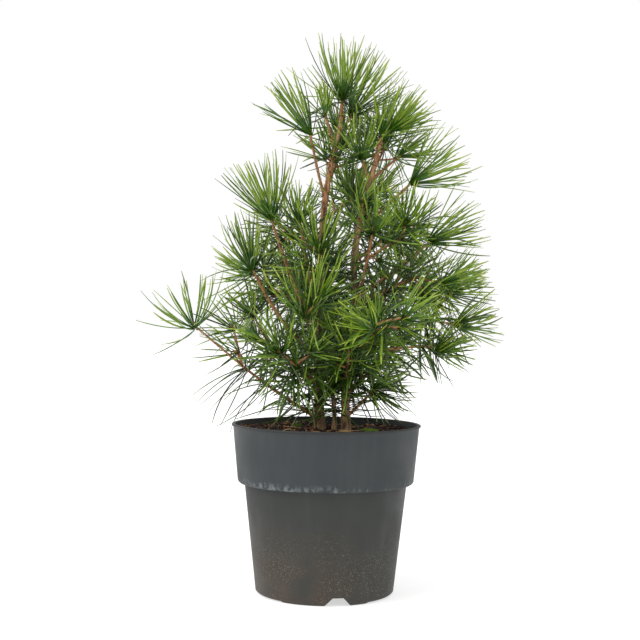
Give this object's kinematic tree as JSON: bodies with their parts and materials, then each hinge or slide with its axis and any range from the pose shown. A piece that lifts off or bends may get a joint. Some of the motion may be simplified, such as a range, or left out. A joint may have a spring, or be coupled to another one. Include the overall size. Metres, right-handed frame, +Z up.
{
  "type": "potted japanese umbrella pine",
  "caption": "Young umbrella pine with upright trunks and whorls of long flat needles, standing in a round plastic nursery pot filled with bark compost.",
  "frame": {"origin": "centre of the pot's flat underside, where it stands", "axes": "+Z up along the pot's axis, +X to the viewer's right, +Y away from the viewer"},
  "size_m": [0.3601, 0.3221, 0.5628],
  "materials": {
    "pot": "dark bluish grey moulded plastic, matt, a little dusty",
    "soil": "dark red-brown bark compost with chips and a patch of moss",
    "trunk_bark": "thin brown bark, olive in the middle and darker at the foot",
    "bough_bark": "orange-brown young bark with small scales",
    "needles": "flat grooved needles, satin, yellow-green at the shoot tips and deep green inside"
  },
  "bodies": {
    "root": {"pot": "pot", "soil": "soil", "trunk_a": "trunk_bark", "trunk_b": "trunk_bark", "trunk_c": "trunk_bark", "bough_left_shoulder": "bough_bark", "bough_right_upper": "bough_bark", "bough_right_arm": "bough_bark", "bough_left_tuft": "bough_bark", "bough_left_inner": "bough_bark", "bough_front_right": "bough_bark", "bough_right_fan": "bough_bark", "bough_left_fan": "bough_bark", "bough_front_left": "bough_bark", "bough_right_low": "bough_bark", "bough_right_far": "bough_bark", "bough_left_low": "bough_bark", "needles_top": "needles", "needles_top_left": "needles", "needles_top_back": "needles", "needles_left_shoulder": "needles", "needles_right_top": "needles", "needles_right_upper": "needles", "needles_right_arm": "needles", "needles_between_top": "needles", "needles_left_tuft": "needles", "needles_left_inner": "needles", "needles_front_right": "needles", "needles_front_upper": "needles", "needles_middle": "needles", "needles_right_fan": "needles", "needles_right_bright": "needles", "needles_left_fan": "needles", "needles_front_left": "needles", "needles_front_middle": "needles", "needles_right_middle": "needles", "needles_right_low": "needles", "needles_right_far": "needles", "needles_left_low": "needles", "needles_right_foot": "needles", "needles_front_low": "needles", "needles_centre_low": "needles", "needles_front_belly": "needles", "needles_foot_tuft": "needles", "needles_back_top_left": "needles", "needles_back_top_right": "needles", "needles_back_upper_left": "needles", "needles_back_upper": "needles", "needles_back_upper_right": "needles", "needles_back_left": "needles", "needles_back_middle": "needles", "needles_back_right": "needles", "needles_back_low_left": "needles", "needles_back_low": "needles", "needles_back_low_right": "needles", "needles_collar_high": "needles", "needles_collar_right": "needles", "needles_collar_middle": "needles", "needles_collar_low": "needles"}
  },
  "joints": []
}
